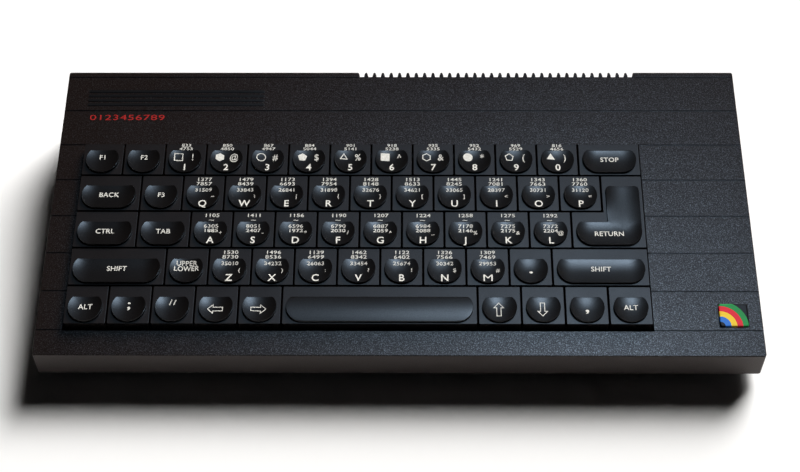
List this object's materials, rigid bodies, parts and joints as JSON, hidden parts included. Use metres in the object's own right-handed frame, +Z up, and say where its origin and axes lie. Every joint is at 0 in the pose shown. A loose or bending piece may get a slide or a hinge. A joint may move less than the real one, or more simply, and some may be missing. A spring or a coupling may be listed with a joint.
{
  "type": "home computer",
  "caption": "Sloping black home computer with a moulded full-travel keyboard, a vented rear edge, rear sockets, a reset button and fold-out rear legs.",
  "frame": {"origin": "on the table under the middle of the case", "axes": "+X to the user's right, +Y to the rear, +Z up"},
  "size_m": [0.319, 0.1492, 0.0379],
  "materials": {
    "case_plastic": "fine grained charcoal",
    "base_plastic": "fine grained black",
    "key_plastic": "satin black",
    "frame_plastic": "dull black",
    "board_resin": "green lacquered resin",
    "leg_plastic": "satin black",
    "button_plastic": "satin black"
  },
  "bodies": {
    "case": {"upper_case": "case_plastic", "lower_case": "base_plastic", "key_frame": "frame_plastic", "circuit_board": "board_resin"},
    "left_leg": {"left_leg": "leg_plastic"},
    "right_leg": {"right_leg": "leg_plastic"},
    "reset_button": {"reset_button": "button_plastic"},
    "key_1": {"key_1": "key_plastic"},
    "key_2": {"key_2": "key_plastic"},
    "key_3": {"key_3": "key_plastic"},
    "key_4": {"key_4": "key_plastic"},
    "key_5": {"key_5": "key_plastic"},
    "key_6": {"key_6": "key_plastic"},
    "key_7": {"key_7": "key_plastic"},
    "key_8": {"key_8": "key_plastic"},
    "key_9": {"key_9": "key_plastic"},
    "key_0": {"key_0": "key_plastic"},
    "key_break": {"key_break": "key_plastic"},
    "key_delete": {"key_delete": "key_plastic"},
    "key_q": {"key_q": "key_plastic"},
    "key_w": {"key_w": "key_plastic"},
    "key_e": {"key_e": "key_plastic"},
    "key_r": {"key_r": "key_plastic"},
    "key_t": {"key_t": "key_plastic"},
    "key_y": {"key_y": "key_plastic"},
    "key_u": {"key_u": "key_plastic"},
    "key_i": {"key_i": "key_plastic"},
    "key_o": {"key_o": "key_plastic"},
    "key_p": {"key_p": "key_plastic"},
    "key_extend": {"key_extend": "key_plastic"},
    "key_edit": {"key_edit": "key_plastic"},
    "key_a": {"key_a": "key_plastic"},
    "key_s": {"key_s": "key_plastic"},
    "key_d": {"key_d": "key_plastic"},
    "key_f": {"key_f": "key_plastic"},
    "key_g": {"key_g": "key_plastic"},
    "key_h": {"key_h": "key_plastic"},
    "key_j": {"key_j": "key_plastic"},
    "key_k": {"key_k": "key_plastic"},
    "key_l": {"key_l": "key_plastic"},
    "key_enter": {"key_enter": "key_plastic"},
    "key_shift_left": {"key_shift_left": "key_plastic"},
    "key_caps_lock": {"key_caps_lock": "key_plastic"},
    "key_z": {"key_z": "key_plastic"},
    "key_x": {"key_x": "key_plastic"},
    "key_c": {"key_c": "key_plastic"},
    "key_v": {"key_v": "key_plastic"},
    "key_b": {"key_b": "key_plastic"},
    "key_n": {"key_n": "key_plastic"},
    "key_m": {"key_m": "key_plastic"},
    "key_full_stop": {"key_full_stop": "key_plastic"},
    "key_symbol_left": {"key_symbol_left": "key_plastic"},
    "key_semicolon": {"key_semicolon": "key_plastic"},
    "key_quote": {"key_quote": "key_plastic"},
    "key_left": {"key_left": "key_plastic"},
    "key_right": {"key_right": "key_plastic"},
    "key_space": {"key_space": "key_plastic"},
    "key_up": {"key_up": "key_plastic"},
    "key_down": {"key_down": "key_plastic"},
    "key_comma": {"key_comma": "key_plastic"}
  },
  "joints": [
    {"name": "press_1", "type": "slide", "parent": "case", "child": "key_1", "axis": [0, 0.1219, -0.9925], "range_m": [0, 0.003], "stiffness_N_per_m": 150, "springref_m": -0.002},
    {"name": "press_2", "type": "slide", "parent": "case", "child": "key_2", "axis": [0, 0.1219, -0.9925], "range_m": [0, 0.003], "stiffness_N_per_m": 150, "springref_m": -0.002},
    {"name": "press_3", "type": "slide", "parent": "case", "child": "key_3", "axis": [0, 0.1219, -0.9925], "range_m": [0, 0.003], "stiffness_N_per_m": 150, "springref_m": -0.002},
    {"name": "press_4", "type": "slide", "parent": "case", "child": "key_4", "axis": [0, 0.1219, -0.9925], "range_m": [0, 0.003], "stiffness_N_per_m": 150, "springref_m": -0.002},
    {"name": "press_5", "type": "slide", "parent": "case", "child": "key_5", "axis": [0, 0.1219, -0.9925], "range_m": [0, 0.003], "stiffness_N_per_m": 150, "springref_m": -0.002},
    {"name": "press_6", "type": "slide", "parent": "case", "child": "key_6", "axis": [0, 0.1219, -0.9925], "range_m": [0, 0.003], "stiffness_N_per_m": 150, "springref_m": -0.002},
    {"name": "press_7", "type": "slide", "parent": "case", "child": "key_7", "axis": [0, 0.1219, -0.9925], "range_m": [0, 0.003], "stiffness_N_per_m": 150, "springref_m": -0.002},
    {"name": "press_8", "type": "slide", "parent": "case", "child": "key_8", "axis": [0, 0.1219, -0.9925], "range_m": [0, 0.003], "stiffness_N_per_m": 150, "springref_m": -0.002},
    {"name": "press_9", "type": "slide", "parent": "case", "child": "key_9", "axis": [0, 0.1219, -0.9925], "range_m": [0, 0.003], "stiffness_N_per_m": 150, "springref_m": -0.002},
    {"name": "press_0", "type": "slide", "parent": "case", "child": "key_0", "axis": [0, 0.1219, -0.9925], "range_m": [0, 0.003], "stiffness_N_per_m": 150, "springref_m": -0.002},
    {"name": "press_break", "type": "slide", "parent": "case", "child": "key_break", "axis": [0, 0.1219, -0.9925], "range_m": [0, 0.003], "stiffness_N_per_m": 150, "springref_m": -0.002},
    {"name": "press_delete", "type": "slide", "parent": "case", "child": "key_delete", "axis": [0, 0.1219, -0.9925], "range_m": [0, 0.003], "stiffness_N_per_m": 150, "springref_m": -0.002},
    {"name": "press_q", "type": "slide", "parent": "case", "child": "key_q", "axis": [0, 0.1219, -0.9925], "range_m": [0, 0.003], "stiffness_N_per_m": 150, "springref_m": -0.002},
    {"name": "press_w", "type": "slide", "parent": "case", "child": "key_w", "axis": [0, 0.1219, -0.9925], "range_m": [0, 0.003], "stiffness_N_per_m": 150, "springref_m": -0.002},
    {"name": "press_e", "type": "slide", "parent": "case", "child": "key_e", "axis": [0, 0.1219, -0.9925], "range_m": [0, 0.003], "stiffness_N_per_m": 150, "springref_m": -0.002},
    {"name": "press_r", "type": "slide", "parent": "case", "child": "key_r", "axis": [0, 0.1219, -0.9925], "range_m": [0, 0.003], "stiffness_N_per_m": 150, "springref_m": -0.002},
    {"name": "press_t", "type": "slide", "parent": "case", "child": "key_t", "axis": [0, 0.1219, -0.9925], "range_m": [0, 0.003], "stiffness_N_per_m": 150, "springref_m": -0.002},
    {"name": "press_y", "type": "slide", "parent": "case", "child": "key_y", "axis": [0, 0.1219, -0.9925], "range_m": [0, 0.003], "stiffness_N_per_m": 150, "springref_m": -0.002},
    {"name": "press_u", "type": "slide", "parent": "case", "child": "key_u", "axis": [0, 0.1219, -0.9925], "range_m": [0, 0.003], "stiffness_N_per_m": 150, "springref_m": -0.002},
    {"name": "press_i", "type": "slide", "parent": "case", "child": "key_i", "axis": [0, 0.1219, -0.9925], "range_m": [0, 0.003], "stiffness_N_per_m": 150, "springref_m": -0.002},
    {"name": "press_o", "type": "slide", "parent": "case", "child": "key_o", "axis": [0, 0.1219, -0.9925], "range_m": [0, 0.003], "stiffness_N_per_m": 150, "springref_m": -0.002},
    {"name": "press_p", "type": "slide", "parent": "case", "child": "key_p", "axis": [0, 0.1219, -0.9925], "range_m": [0, 0.003], "stiffness_N_per_m": 150, "springref_m": -0.002},
    {"name": "press_extend", "type": "slide", "parent": "case", "child": "key_extend", "axis": [0, 0.1219, -0.9925], "range_m": [0, 0.003], "stiffness_N_per_m": 150, "springref_m": -0.002},
    {"name": "press_edit", "type": "slide", "parent": "case", "child": "key_edit", "axis": [0, 0.1219, -0.9925], "range_m": [0, 0.003], "stiffness_N_per_m": 150, "springref_m": -0.002},
    {"name": "press_a", "type": "slide", "parent": "case", "child": "key_a", "axis": [0, 0.1219, -0.9925], "range_m": [0, 0.003], "stiffness_N_per_m": 150, "springref_m": -0.002},
    {"name": "press_s", "type": "slide", "parent": "case", "child": "key_s", "axis": [0, 0.1219, -0.9925], "range_m": [0, 0.003], "stiffness_N_per_m": 150, "springref_m": -0.002},
    {"name": "press_d", "type": "slide", "parent": "case", "child": "key_d", "axis": [0, 0.1219, -0.9925], "range_m": [0, 0.003], "stiffness_N_per_m": 150, "springref_m": -0.002},
    {"name": "press_f", "type": "slide", "parent": "case", "child": "key_f", "axis": [0, 0.1219, -0.9925], "range_m": [0, 0.003], "stiffness_N_per_m": 150, "springref_m": -0.002},
    {"name": "press_g", "type": "slide", "parent": "case", "child": "key_g", "axis": [0, 0.1219, -0.9925], "range_m": [0, 0.003], "stiffness_N_per_m": 150, "springref_m": -0.002},
    {"name": "press_h", "type": "slide", "parent": "case", "child": "key_h", "axis": [0, 0.1219, -0.9925], "range_m": [0, 0.003], "stiffness_N_per_m": 150, "springref_m": -0.002},
    {"name": "press_j", "type": "slide", "parent": "case", "child": "key_j", "axis": [0, 0.1219, -0.9925], "range_m": [0, 0.003], "stiffness_N_per_m": 150, "springref_m": -0.002},
    {"name": "press_k", "type": "slide", "parent": "case", "child": "key_k", "axis": [0, 0.1219, -0.9925], "range_m": [0, 0.003], "stiffness_N_per_m": 150, "springref_m": -0.002},
    {"name": "press_l", "type": "slide", "parent": "case", "child": "key_l", "axis": [0, 0.1219, -0.9925], "range_m": [0, 0.003], "stiffness_N_per_m": 150, "springref_m": -0.002},
    {"name": "press_enter", "type": "slide", "parent": "case", "child": "key_enter", "axis": [0, 0.1219, -0.9925], "range_m": [0, 0.003], "stiffness_N_per_m": 150, "springref_m": -0.002},
    {"name": "press_shift_left", "type": "slide", "parent": "case", "child": "key_shift_left", "axis": [0, 0.1219, -0.9925], "range_m": [0, 0.003], "stiffness_N_per_m": 150, "springref_m": -0.002},
    {"name": "press_caps_lock", "type": "slide", "parent": "case", "child": "key_caps_lock", "axis": [0, 0.1219, -0.9925], "range_m": [0, 0.003], "stiffness_N_per_m": 150, "springref_m": -0.002},
    {"name": "press_z", "type": "slide", "parent": "case", "child": "key_z", "axis": [0, 0.1219, -0.9925], "range_m": [0, 0.003], "stiffness_N_per_m": 150, "springref_m": -0.002},
    {"name": "press_x", "type": "slide", "parent": "case", "child": "key_x", "axis": [0, 0.1219, -0.9925], "range_m": [0, 0.003], "stiffness_N_per_m": 150, "springref_m": -0.002},
    {"name": "press_c", "type": "slide", "parent": "case", "child": "key_c", "axis": [0, 0.1219, -0.9925], "range_m": [0, 0.003], "stiffness_N_per_m": 150, "springref_m": -0.002},
    {"name": "press_v", "type": "slide", "parent": "case", "child": "key_v", "axis": [0, 0.1219, -0.9925], "range_m": [0, 0.003], "stiffness_N_per_m": 150, "springref_m": -0.002},
    {"name": "press_b", "type": "slide", "parent": "case", "child": "key_b", "axis": [0, 0.1219, -0.9925], "range_m": [0, 0.003], "stiffness_N_per_m": 150, "springref_m": -0.002},
    {"name": "press_n", "type": "slide", "parent": "case", "child": "key_n", "axis": [0, 0.1219, -0.9925], "range_m": [0, 0.003], "stiffness_N_per_m": 150, "springref_m": -0.002},
    {"name": "press_m", "type": "slide", "parent": "case", "child": "key_m", "axis": [0, 0.1219, -0.9925], "range_m": [0, 0.003], "stiffness_N_per_m": 150, "springref_m": -0.002},
    {"name": "press_full_stop", "type": "slide", "parent": "case", "child": "key_full_stop", "axis": [0, 0.1219, -0.9925], "range_m": [0, 0.003], "stiffness_N_per_m": 150, "springref_m": -0.002},
    {"name": "press_symbol_left", "type": "slide", "parent": "case", "child": "key_symbol_left", "axis": [0, 0.1219, -0.9925], "range_m": [0, 0.003], "stiffness_N_per_m": 150, "springref_m": -0.002},
    {"name": "press_semicolon", "type": "slide", "parent": "case", "child": "key_semicolon", "axis": [0, 0.1219, -0.9925], "range_m": [0, 0.003], "stiffness_N_per_m": 150, "springref_m": -0.002},
    {"name": "press_quote", "type": "slide", "parent": "case", "child": "key_quote", "axis": [0, 0.1219, -0.9925], "range_m": [0, 0.003], "stiffness_N_per_m": 150, "springref_m": -0.002},
    {"name": "press_left", "type": "slide", "parent": "case", "child": "key_left", "axis": [0, 0.1219, -0.9925], "range_m": [0, 0.003], "stiffness_N_per_m": 150, "springref_m": -0.002},
    {"name": "press_right", "type": "slide", "parent": "case", "child": "key_right", "axis": [0, 0.1219, -0.9925], "range_m": [0, 0.003], "stiffness_N_per_m": 150, "springref_m": -0.002},
    {"name": "press_space", "type": "slide", "parent": "case", "child": "key_space", "axis": [0, 0.1219, -0.9925], "range_m": [0, 0.003], "stiffness_N_per_m": 150, "springref_m": -0.002},
    {"name": "press_up", "type": "slide", "parent": "case", "child": "key_up", "axis": [0, 0.1219, -0.9925], "range_m": [0, 0.003], "stiffness_N_per_m": 150, "springref_m": -0.002},
    {"name": "press_down", "type": "slide", "parent": "case", "child": "key_down", "axis": [0, 0.1219, -0.9925], "range_m": [0, 0.003], "stiffness_N_per_m": 150, "springref_m": -0.002},
    {"name": "press_comma", "type": "slide", "parent": "case", "child": "key_comma", "axis": [0, 0.1219, -0.9925], "range_m": [0, 0.003], "stiffness_N_per_m": 150, "springref_m": -0.002},
    {"name": "press_reset", "type": "slide", "parent": "case", "child": "reset_button", "axis": [1, 0, 0], "range_m": [0, 0.0015], "stiffness_N_per_m": 200, "springref_m": -0.0015},
    {"name": "fold_left_leg", "type": "hinge", "parent": "case", "child": "left_leg", "pos_m": [-0.133, 0.05, 0.0047], "axis": [1, 0, 0], "range_deg": [0, 100]},
    {"name": "fold_right_leg", "type": "hinge", "parent": "case", "child": "right_leg", "pos_m": [0.133, 0.05, 0.0047], "axis": [1, 0, 0], "range_deg": [0, 100]}
  ]
}
